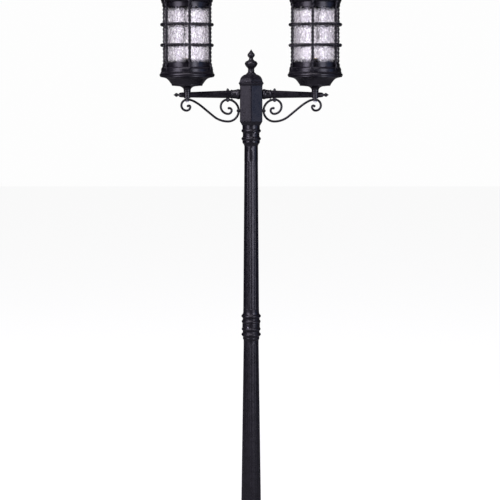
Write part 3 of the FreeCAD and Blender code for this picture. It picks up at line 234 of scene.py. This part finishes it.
def water_glass(name):
    """Cast glass, hammered and streaked, faintly lilac, with seeds in it and painted shade as dark speckles
    at its rims, where it meets the collars.
    """
    f = Finish(name)
    hammered = f.cells(120.0, at=f.stretched(1.0, 1.0, 0.75), feature="SMOOTH_F1")
    creases = f.cells(105.0, at=f.stretched(1.0, 1.0, 0.62))
    streaks = f.noise(120.0, 3.0, 0.6, at=f.stretched(1.0, 1.0, 0.35))
    shade = f.colour(f.ranged(creases, 0.30, 0.58), (1.0, 0.99, 1.0), (0.80, 0.775, 0.815))
    shade = f.colour(f.ranged(streaks, 0.52, 0.66), shade, (0.76, 0.735, 0.78))
    seeds = f.ranged(f.noise(150.0, 2.0, 0.5), 0.66, 0.71, 0.0, 0.85)
    shade = f.colour(seeds, shade, (0.14, 0.13, 0.17))
    # painted shade: dark speckles near the upper and lower rims, where the glass meets the collars
    rim_shade_specks = f.math("MULTIPLY", rim_share(f), f.ranged(creases, 0.20, 0.34))
    shade = f.colour(rim_shade_specks, shade, (0.03, 0.03, 0.04))
    f.set(Base_Color=shade, IOR=1.46, Transmission_Weight=1.0, Roughness=0.03,
          Normal=f.bump(streaks, 0.0008, f.bump(hammered, 0.0014)))
    f.let_through(0.40, shade)
    return f.material


def rim_share(f):
    """How near a point of the glass is to its upper or lower rim."""
    low, high, middle = lantern_levels("left")
    half = (high - low) / 2
    outer, inner = half - 0.006, half - 0.026
    parts = f.nodes.new("ShaderNodeSeparateXYZ")
    f.links.new(f.place, parts.inputs[0])
    off = f.math("ABSOLUTE", f.math("SUBTRACT", parts.outputs["Z"], middle))
    return f.ranged(off, inner, outer)


def opal_glass(name):
    """Thin lamp glass with a light milky wash, uneven as it is dipped, and a painted glow though the lamp is
    not lit.
    """
    f = Finish(name)
    cloud = f.noise(55.0, 4.0, 0.55)
    # painted glow: a faint white emission so that the unlit bulb reads bright behind the glass
    f.set(Base_Color=f.colour(cloud, (0.84, 0.83, 0.84), (0.95, 0.94, 0.95)), IOR=1.5,
          Roughness=0.14, Emission_Color=(1.0, 0.97, 1.0, 1.0), Emission_Strength=0.75,
          Normal=f.bump(f.noise(160.0), 0.00006))
    f.let_through(f.ranged(cloud, 0.3, 0.7, 0.80, 0.90), (1.0, 1.0, 1.0, 1.0))
    return f.material


def seal_rubber(name):
    """Black rubber with a grey bloom."""
    f = Finish(name)
    bloom = f.noise(240.0, 5.0, 0.65)
    aged = f.ranged(bloom, 0.4, 0.75)
    f.set(Base_Color=f.colour(aged, (0.016, 0.016, 0.017), (0.05, 0.05, 0.05)),
          Roughness=f.ranged(bloom, 0.3, 0.7, 0.62, 0.86), Normal=f.bump(f.noise(1500.0), 0.00008))
    return f.material


def moulded_plastic(name, tone, gloss):
    """Plastic with faint flow marks."""
    f = Finish(name)
    flow = f.noise(90.0, 4.0, 0.6)
    shade = tuple(c * 0.8 for c in tone)
    f.set(Base_Color=f.colour(flow, shade, tone),
          Roughness=f.ranged(flow, 0.3, 0.7, gloss - 0.06, gloss + 0.1),
          Normal=f.bump(f.noise(1800.0, 2.0), 0.00006))
    return f.material


def lead_sheath(name):
    """Cable sheath with the faint lay of its cores."""
    f = Finish(name)
    lay = f.noise(900.0, 2.0, 0.5, at=f.stretched(1.0, 1.0, 0.12))
    f.set(Base_Color=f.colour(f.noise(150.0), (0.035, 0.035, 0.037), (0.065, 0.065, 0.067)),
          Roughness=f.ranged(lay, 0.3, 0.7, 0.46, 0.62), Normal=f.bump(lay, 0.00012))
    return f.material


def plain_brass(name):
    """Brass with patches of tarnish."""
    f = Finish(name)
    tarnish = f.noise(300.0, 5.0, 0.62)
    dulled = f.ranged(tarnish, 0.4, 0.72)
    f.set(Base_Color=f.colour(dulled, (0.80, 0.62, 0.28), (0.42, 0.29, 0.13)), Metallic=1.0,
          Roughness=f.ranged(tarnish, 0.3, 0.7, 0.24, 0.46), Normal=f.bump(f.noise(2200.0), 0.00003))
    return f.material


def pressed_board(name):
    """Terminal plate: brown laminate with a paper grain."""
    f = Finish(name)
    grain = f.noise(420.0, 5.0, 0.65, at=f.stretched(1.0, 1.0, 0.18))
    f.set(Base_Color=f.colour(f.ranged(grain, 0.35, 0.7), (0.20, 0.11, 0.055), (0.36, 0.23, 0.13)),
          Roughness=f.ranged(grain, 0.3, 0.7, 0.42, 0.6), Normal=f.bump(grain, 0.0001))
    return f.material


FINISHES = {
    "cast_black": powder_coat("cast_black", (0.0030, 0.0024, 0.0044), (0.0064, 0.0054, 0.0088),
                              0.00008, 0.00012),
    "bar_black": powder_coat("bar_black", (0.0030, 0.0024, 0.0044), (0.0060, 0.0052, 0.0084),
                             0.00010, 0.0002),
    "black_hardware": powder_coat("black_hardware", (0.012, 0.012, 0.014), (0.022, 0.022, 0.025),
                                  0.00006, 0.00010, 0.30),
    "screw_steel": turned_steel("screw_steel", (0.34, 0.33, 0.36), 0.34),
    "zinc_steel": turned_steel("zinc_steel", (0.66, 0.66, 0.63), 0.38),
    "water_glass": water_glass("water_glass"),
    "opal_glass": opal_glass("opal_glass"),
    "seal_rubber": seal_rubber("seal_rubber"),
    "holder_plastic": moulded_plastic("holder_plastic", (0.045, 0.044, 0.043), 0.40),
    "block_plastic": moulded_plastic("block_plastic", (0.70, 0.67, 0.58), 0.48),
    "lead_sheath": lead_sheath("lead_sheath"),
    "brass": plain_brass("brass"),
    "plate_board": pressed_board("plate_board"),
}


def finish_cad_nodes():
    """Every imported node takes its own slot's finish."""
    slots = {s["node"]: s["material_slot"] for s in frame["record"]["subparts"]}
    for name, node in frame["nodes"].items():
        node.data.materials.clear()
        node.data.materials.append(FINISHES[slots[name]])


# ------------------------------------------------------------------ making meshes

def piece_from(name, bm, finish):
    """Turns a bmesh into a piece that has one finish."""
    mesh = bpy.data.meshes.new(name)
    bm.to_mesh(mesh)
    bm.free()
    mesh.materials.append(FINISHES[finish])
    mesh.polygons.foreach_set("use_smooth", [True] * len(mesh.polygons))
    piece = bpy.data.objects.new(name, mesh)
    bpy.context.scene.collection.objects.link(piece)
    return piece


class Tree:
    """A geometry node tree with named inputs."""

    def __init__(self, name, inputs):
        self.tree = bpy.data.node_groups.new(name, "GeometryNodeTree")
        self.tree.interface.new_socket("Geometry", in_out="INPUT", socket_type="NodeSocketGeometry")
        self.keys = {}
        for label, kind in inputs:
            socket = self.tree.interface.new_socket(label, in_out="INPUT", socket_type=kind)
            self.keys[label] = socket.identifier
        self.tree.interface.new_socket("Geometry", in_out="OUTPUT", socket_type="NodeSocketGeometry")
        self.inputs = self.add("NodeGroupInput")
        self.output = self.add("NodeGroupOutput")

    def add(self, kind, **settings):
        node = self.tree.nodes.new(kind)
        for key, value in settings.items():
            setattr(node, key, value)
        return node

    def link(self, source, target):
        self.tree.links.new(source, target)

    def math(self, operation, a, b=None):
        node = self.add("ShaderNodeMath", operation=operation)
        for socket, value in zip(node.inputs, (a, b)):
            if isinstance(value, bpy.types.NodeSocket):
                self.link(value, socket)
            elif value is not None:
                socket.default_value = value
        return node.outputs[0]

    def close(self, geometry):
        """Ends the tree in realised instances and the finish."""
        real = self.add("GeometryNodeRealizeInstances")
        shade = self.add("GeometryNodeSetShadeSmooth")
        paint = self.add("GeometryNodeSetMaterial")
        self.link(geometry, real.inputs[0])
        self.link(real.outputs[0], shade.inputs["Geometry"])
        self.link(shade.outputs[0], paint.inputs["Geometry"])
        self.link(self.inputs.outputs["Finish"], paint.inputs["Material"])
        self.link(paint.outputs[0], self.output.inputs[0])

    def run(self, mesh, values):
        """Runs the tree on a mesh and returns the plain mesh that it makes."""
        maker = bpy.data.objects.new("maker", mesh)
        bpy.context.scene.collection.objects.link(maker)
        modifier = maker.modifiers.new("tree", "NODES")
        modifier.node_group = self.tree
        for label, value in values.items():
            modifier[self.keys[label]] = value
        bpy.context.view_layer.update()
        evaluated = maker.evaluated_get(bpy.context.evaluated_depsgraph_get())
        made = bpy.data.meshes.new_from_object(evaluated)
        maker.modifiers.remove(modifier)
        bpy.data.objects.remove(maker)
        return made


def twisted_bar_tree():
    """Sweeps a lobed section along each path while it turns, as a twisted iron bar."""
    t = Tree("twisted_bar", [("Bar Radius", "NodeSocketFloat"), ("Lobes", "NodeSocketInt"),
                             ("Groove", "NodeSocketFloat"), ("Turns", "NodeSocketFloat"),
                             ("Step", "NodeSocketFloat"), ("Bend Radius", "NodeSocketFloat"),
                             ("Finish", "NodeSocketMaterial")])
    group = t.inputs.outputs
    path = t.add("GeometryNodeMeshToCurve")
    t.link(group["Geometry"], path.inputs["Mesh"])
    fillet = t.add("GeometryNodeFilletCurve", mode="POLY")
    fillet.inputs["Count"].default_value = 4
    t.link(path.outputs["Curve"], fillet.inputs["Curve"])
    t.link(group["Bend Radius"], fillet.inputs["Radius"])
    even = t.add("GeometryNodeResampleCurve", mode="LENGTH")
    t.link(fillet.outputs["Curve"], even.inputs["Curve"])
    t.link(group["Step"], even.inputs["Length"])
    along = t.add("GeometryNodeSplineParameter")
    tilt = t.add("GeometryNodeSetCurveTilt")
    t.link(even.outputs["Curve"], tilt.inputs["Curve"])
    turned = t.math("MULTIPLY", along.outputs["Factor"], group["Turns"])
    t.link(t.math("MULTIPLY", turned, math.tau), tilt.inputs["Tilt"])
    section = t.add("GeometryNodeCurvePrimitiveCircle", mode="RADIUS")
    section.inputs["Resolution"].default_value = 20
    section.inputs["Radius"].default_value = 1.0
    here = t.add("GeometryNodeInputPosition")
    parts = t.add("ShaderNodeSeparateXYZ")
    t.link(here.outputs[0], parts.inputs[0])
    angle = t.math("ARCTAN2", parts.outputs["Y"], parts.outputs["X"])
    phase = t.math("MULTIPLY", t.math("MULTIPLY", angle, group["Lobes"]), 0.5)
    lobe = t.math("ABSOLUTE", t.math("COSINE", phase))
    core = t.math("SUBTRACT", 1.0, group["Groove"])
    share = t.math("ADD", t.math("MULTIPLY", lobe, group["Groove"]), core)
    reach = t.math("MULTIPLY", share, group["Bar Radius"])
    grown = t.add("ShaderNodeVectorMath", operation="SCALE")
    t.link(here.outputs[0], grown.inputs[0])
    t.link(reach, grown.inputs["Scale"])
    lobed = t.add("GeometryNodeSetPosition")
    t.link(section.outputs["Curve"], lobed.inputs["Geometry"])
    t.link(grown.outputs[0], lobed.inputs["Position"])
    swept = t.add("GeometryNodeCurveToMesh")
    swept.inputs["Fill Caps"].default_value = True
    t.link(tilt.outputs["Curve"], swept.inputs["Curve"])
    t.link(lobed.outputs["Geometry"], swept.inputs["Profile Curve"])
    t.close(swept.outputs["Mesh"])
    return t


def bead_row_tree():
    """Sets a small bead at even steps round each ring."""
    t = Tree("bead_row", [("Beads", "NodeSocketInt"), ("Bead Radius", "NodeSocketFloat"),
                          ("Finish", "NodeSocketMaterial")])
    group = t.inputs.outputs
    ring = t.add("GeometryNodeMeshToCurve")
    t.link(group["Geometry"], ring.inputs["Mesh"])
    places = t.add("GeometryNodeCurveToPoints", mode="COUNT")
    t.link(ring.outputs["Curve"], places.inputs["Curve"])
    t.link(group["Beads"], places.inputs["Count"])
    bead = t.add("GeometryNodeMeshUVSphere")
    bead.inputs["Segments"].default_value = 10
    bead.inputs["Rings"].default_value = 6
    t.link(group["Bead Radius"], bead.inputs["Radius"])
    rows = t.add("GeometryNodeInstanceOnPoints")
    t.link(places.outputs["Points"], rows.inputs["Points"])
    t.link(bead.outputs["Mesh"], rows.inputs["Instance"])
    t.close(rows.outputs["Instances"])
    return t


def wavy_glass_tree():
    """Moves a glass wall in and out with a slow, upright ripple."""
    t = Tree("wavy_glass", [("Depth", "NodeSocketFloat"), ("Scale", "NodeSocketFloat"),
                            ("Seed", "NodeSocketFloat"), ("Finish", "NodeSocketMaterial")])
    group = t.inputs.outputs
    here = t.add("GeometryNodeInputPosition")
    upright = t.add("ShaderNodeVectorMath", operation="MULTIPLY")
    upright.inputs[1].default_value = (1.0, 1.0, 0.55)
    t.link(here.outputs[0], upright.inputs[0])
    ripple = t.add("ShaderNodeTexNoise", noise_dimensions="4D")
    t.link(upright.outputs[0], ripple.inputs["Vector"])
    t.link(group["Seed"], ripple.inputs["W"])
    t.link(group["Scale"], ripple.inputs["Scale"])
    ripple.inputs["Detail"].default_value = 2.0
    depth = t.math("MULTIPLY", t.math("SUBTRACT", ripple.outputs["Fac"], 0.5), group["Depth"])
    normal = t.add("GeometryNodeInputNormal")
    push = t.add("ShaderNodeVectorMath", operation="SCALE")
    t.link(normal.outputs[0], push.inputs[0])
    t.link(depth, push.inputs["Scale"])
    shaped = t.add("GeometryNodeSetPosition")
    t.link(group["Geometry"], shaped.inputs["Geometry"])
    t.link(push.outputs[0], shaped.inputs["Offset"])
    t.close(shaped.outputs["Geometry"])
    return t


TWISTED_BAR = twisted_bar_tree()
BEAD_ROW = bead_row_tree()
WAVY_GLASS = wavy_glass_tree()


def path_mesh(paths, closed):
    """Edges through the points of each path, for a tree to follow."""
    bm = bmesh.new()
    for points in paths:
        corners = [bm.verts.new(p) for p in points]
        ends = corners[1:] + corners[:1] if closed else corners[1:]
        for a, b in zip(corners, ends):
            bm.edges.new((a, b))
    mesh = bpy.data.meshes.new("path")
    bm.to_mesh(mesh)
    bm.free()
    return mesh


def ring_points(side, radius, level, count=120):
    """Even points round a lantern's axis."""
    x = lantern_axis(side)
    angles = [math.tau * i / count for i in range(count)]
    return [(x + radius * math.cos(a), radius * math.sin(a), level) for a in angles]


# ------------------------------------------------------------------ lantern pieces

def bar_angles(side):
    return [math.radians(FIRST_BAR[side] + 360.0 * i / CAGE_BARS) for i in range(CAGE_BARS)]


def at_bar(side, angle, radius, level):
    return Vector((lantern_axis(side) + radius * math.cos(angle), radius * math.sin(angle), level))


def bar_path(side, angle):
    """From the lower strap, kicked in over the collar's shoulder, up the glass and out again."""
    low, high, _ = lantern_levels(side)
    foot = STRAP_RADIUS + STRAP_LIFT
    return [at_bar(side, angle, foot, low - KICK - BAR_END),
            at_bar(side, angle, foot, low - KICK),
            at_bar(side, angle, BAR_RING, low + STRAIGHT),
            at_bar(side, angle, BAR_RING, high - STRAIGHT),
            at_bar(side, angle, foot, high + KICK),
            at_bar(side, angle, foot, high + KICK + BAR_END)]


def add_strap(bm, side, angle, level0, level1):
    """A curved plate with chamfered edges that lies on the collar's band."""
    x = lantern_axis(side)
    inner, outer = STRAP_RADIUS, STRAP_RADIUS + STRAP_THICK
    chamfer = STRAP_CHAMFER
    section = [(inner, level0), (outer - chamfer, level0), (outer, level0 + chamfer),
               (outer, level1 - chamfer), (outer - chamfer, level1), (inner, level1)]
    rows = []
    for i in range(STRAP_STEPS + 1):
        a = angle - STRAP_HALF_ANGLE + 2 * STRAP_HALF_ANGLE * i / STRAP_STEPS
        rows.append([bm.verts.new((x + r * math.cos(a), r * math.sin(a), z)) for r, z in section])
    for row, after in zip(rows, rows[1:]):
        for j in range(len(section)):
            k = (j + 1) % len(section)
            bm.faces.new((row[j], after[j], after[k], row[k]))
    bm.faces.new(rows[0])
    bm.faces.new(rows[-1][::-1])


def cage_bars(side):
    """Six twisted bars and two twisted hoops, with plain straps on the collars."""
    low, high, middle = lantern_levels(side)
    hand = SIDES[side]
    finish = FINISHES["cast_black"]
    uprights = path_mesh([bar_path(side, a) for a in bar_angles(side)], False)
    levels = (middle - HOOP_OFFSET, middle + HOOP_OFFSET)
    rings = path_mesh([ring_points(side, BAR_RING, level) for level in levels], True)
    bars = TWISTED_BAR.run(uprights, {**TWIST, "Bar Radius": BAR_RADIUS, "Turns": BAR_TURNS * hand,
                                      "Bend Radius": BEND_RADIUS, "Finish": finish})
    hoops = TWISTED_BAR.run(rings, {**TWIST, "Bar Radius": HOOP_RADIUS, "Turns": HOOP_TURNS * hand,
                                    "Bend Radius": 0.0, "Finish": finish})
    bm = bmesh.new()
    bm.from_mesh(bars)
    bm.from_mesh(hoops)
    for angle in bar_angles(side):
        add_strap(bm, side, angle, low - STRAP_FAR, low - STRAP_NEAR)
        add_strap(bm, side, angle, high + STRAP_NEAR, high + STRAP_FAR)
    bmesh.ops.recalc_face_normals(bm, faces=bm.faces)
    piece = piece_from(side + "_cage_bars", bm, "cast_black")
    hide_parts(side + "_cage")
    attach(piece, "post")


def bead_rows(side):
    """A row of cast beads in the groove of each collar."""
    low, high, _ = lantern_levels(side)
    levels = (low - BEAD_LEVEL, high + BEAD_LEVEL)
    rings = path_mesh([ring_points(side, BEAD_RING, level) for level in levels], True)
    beads = BEAD_ROW.run(rings, {"Beads": BEADS, "Bead Radius": BEAD_RADIUS,
                                 "Finish": FINISHES["cast_black"]})
    bm = bmesh.new()
    bm.from_mesh(beads)
    piece = piece_from(side + "_collar_beads", bm, "cast_black")
    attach(piece, "post")


def glass_face(bm, side, radius):
    """A grid of points round the lantern's axis: rows from the lower rim to the upper one."""
    low, high, _ = lantern_levels(side)
    levels = [low + (high - low) * j / GLASS_ROWS for j in range(GLASS_ROWS + 1)]
    return [[bm.verts.new(p) for p in ring_points(side, radius, z, GLASS_COLUMNS)] for z in levels]


def glass_tube(side):
    """The glass before it ripples: an outer and an inner face, joined at both rims."""
    bm = bmesh.new()
    outer = glass_face(bm, side, GLASS_RADIUS - RIPPLE_ROOM)
    inner = glass_face(bm, side, GLASS_RADIUS - GLASS_WALL + RIPPLE_ROOM)
    for i in range(GLASS_COLUMNS):
        k = (i + 1) % GLASS_COLUMNS
        for j in range(GLASS_ROWS):
            bm.faces.new((outer[j][i], outer[j][k], outer[j + 1][k], outer[j + 1][i]))
            bm.faces.new((inner[j][i], inner[j + 1][i], inner[j + 1][k], inner[j][k]))
        bm.faces.new((outer[0][k], outer[0][i], inner[0][i], inner[0][k]))
        bm.faces.new((outer[-1][i], outer[-1][k], inner[-1][k], inner[-1][i]))
    mesh = bpy.data.meshes.new("glass_wall")
    bm.to_mesh(mesh)
    bm.free()
    return mesh


def wavy_glass(side):
    """The glass: an open tube whose two faces ripple."""
    shaped = WAVY_GLASS.run(glass_tube(side), {"Depth": RIPPLE_DEPTH, "Scale": RIPPLE_SCALE,
                                               "Seed": RIPPLE_SEED[side], "Finish": FINISHES["water_glass"]})
    bm = bmesh.new()
    bm.from_mesh(shaped)
    piece = piece_from(side + "_water_glass", bm, "water_glass")
    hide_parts(side + "_glass")
    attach(piece, "post")


# ------------------------------------------------------------------ studio

def softbox(name, place, target, width, height, power, colour):
    """A rectangular light at a place, turned to its target."""
    light = bpy.data.lights.new(name, "AREA")
    light.shape = "RECTANGLE"
    light.size = width
    light.size_y = height
    light.energy = power
    light.color = colour
    lamp = bpy.data.objects.new(name, light)
    way = Vector(target) - Vector(place)
    lamp.matrix_world = Matrix.Translation(place) @ way.to_track_quat("-Z", "Y").to_matrix().to_4x4()
    bpy.context.scene.collection.objects.link(lamp)


BACKDROP = 0.985         # the room as the camera sees it
ROOM_LIGHT = 0.035       # the room as it lights the post
FLOOR_GLOW = 0.93
FLOOR_TONE = 0.45
THROUGH_GLASS = 1.30     # how much brighter the white is when it's seen through the glass


def seen_directly(nodes, links):
    """1 for what is seen directly, a little more through the glass, 0 for what only lights the post."""
    ray = nodes.new("ShaderNodeLightPath")
    through = nodes.new("ShaderNodeMath")
    through.operation = "MULTIPLY"
    through.inputs[1].default_value = THROUGH_GLASS
    links.new(ray.outputs["Is Transmission Ray"], through.inputs[0])
    either = nodes.new("ShaderNodeMath")
    either.operation = "MAXIMUM"
    links.new(ray.outputs["Is Camera Ray"], either.inputs[0])
    links.new(through.outputs[0], either.inputs[1])
    return either.outputs[0]


def white_room():
    """A dim room whose backdrop is white."""
    world = bpy.data.worlds.new("room")
    bpy.context.scene.world = world
    world.use_nodes = True
    nodes, links = world.node_tree.nodes, world.node_tree.links
    nodes.clear()
    back = nodes.new("ShaderNodeBackground")
    back.inputs["Color"].default_value = (1.0, 1.0, 1.0, 1.0)
    out = nodes.new("ShaderNodeOutputWorld")
    level = nodes.new("ShaderNodeMapRange")
    level.clamp = False
    level.inputs["To Min"].default_value = ROOM_LIGHT
    level.inputs["To Max"].default_value = BACKDROP
    links.new(seen_directly(nodes, links), level.inputs["Value"])
    links.new(level.outputs["Result"], back.inputs["Strength"])
    links.new(back.outputs[0], out.inputs["Surface"])


def pale_floor():
    """A wide pale floor with a soft sheen of its own."""
    bpy.ops.mesh.primitive_plane_add(size=60.0, location=(0, 0, 0))
    floor = bpy.context.object
    floor.name = "floor"
    mat = bpy.data.materials.new("pale_floor")
    mat.use_nodes = True
    nodes, links = mat.node_tree.nodes, mat.node_tree.links
    nodes.clear()
    matt = nodes.new("ShaderNodeBsdfDiffuse")
    matt.inputs["Color"].default_value = (FLOOR_TONE, FLOOR_TONE, FLOOR_TONE, 1.0)
    glow = nodes.new("ShaderNodeEmission")
    level = nodes.new("ShaderNodeMath")
    level.operation = "MULTIPLY"
    level.inputs[1].default_value = FLOOR_GLOW
    links.new(seen_directly(nodes, links), level.inputs[0])
    links.new(level.outputs[0], glow.inputs["Strength"])
    both = nodes.new("ShaderNodeAddShader")
    out = nodes.new("ShaderNodeOutputMaterial")
    links.new(matt.outputs[0], both.inputs[0])
    links.new(glow.outputs[0], both.inputs[1])
    links.new(both.outputs[0], out.inputs["Surface"])
    floor.data.materials.append(mat)


def studio():
    """A white room, lit from the front left and right, faintly blue from the far right, and from above."""
    white_room()
    pale_floor()
    softbox("left_softbox", (-3.6, -3.9, 4.4), (0, 0, 2.7), 2.8, 6.4, 335.0, (0.87, 0.80, 1.0))
    softbox("right_softbox", (3.2, -4.2, 2.2), (0, 0, 1.8), 1.8, 3.4, 120.0, (0.84, 0.82, 1.0))
    softbox("right_fill", (4.8, -1.9, 2.0), (0, 0, 1.8), 2.0, 3.0, 20.0, (0.38, 0.52, 1.0))
    softbox("top_softbox", (-0.6, -3.0, 6.6), (0, 0, 1.8), 3.6, 2.2, 130.0, (0.96, 0.90, 1.0))


def camera():
    """A long lens in front of the post, tipped down a little."""
    lens = bpy.data.cameras.new("camera")
    lens.lens = 122.4
    lens.sensor_width = 36.0
    lens.clip_end = 200.0
    cam = bpy.data.objects.new("camera", lens)
    cam.location = (-0.0048, -7.14, 1.983)
    cam.rotation_euler = (math.radians(84.8), 0.0, 0.0)
    bpy.context.scene.collection.objects.link(cam)
    bpy.context.scene.camera = cam
    bpy.context.scene.view_settings.view_transform = "Standard"


finish_cad_nodes()
for lantern_side in SIDES:
    wavy_glass(lantern_side)
    cage_bars(lantern_side)
    bead_rows(lantern_side)
studio()
camera()
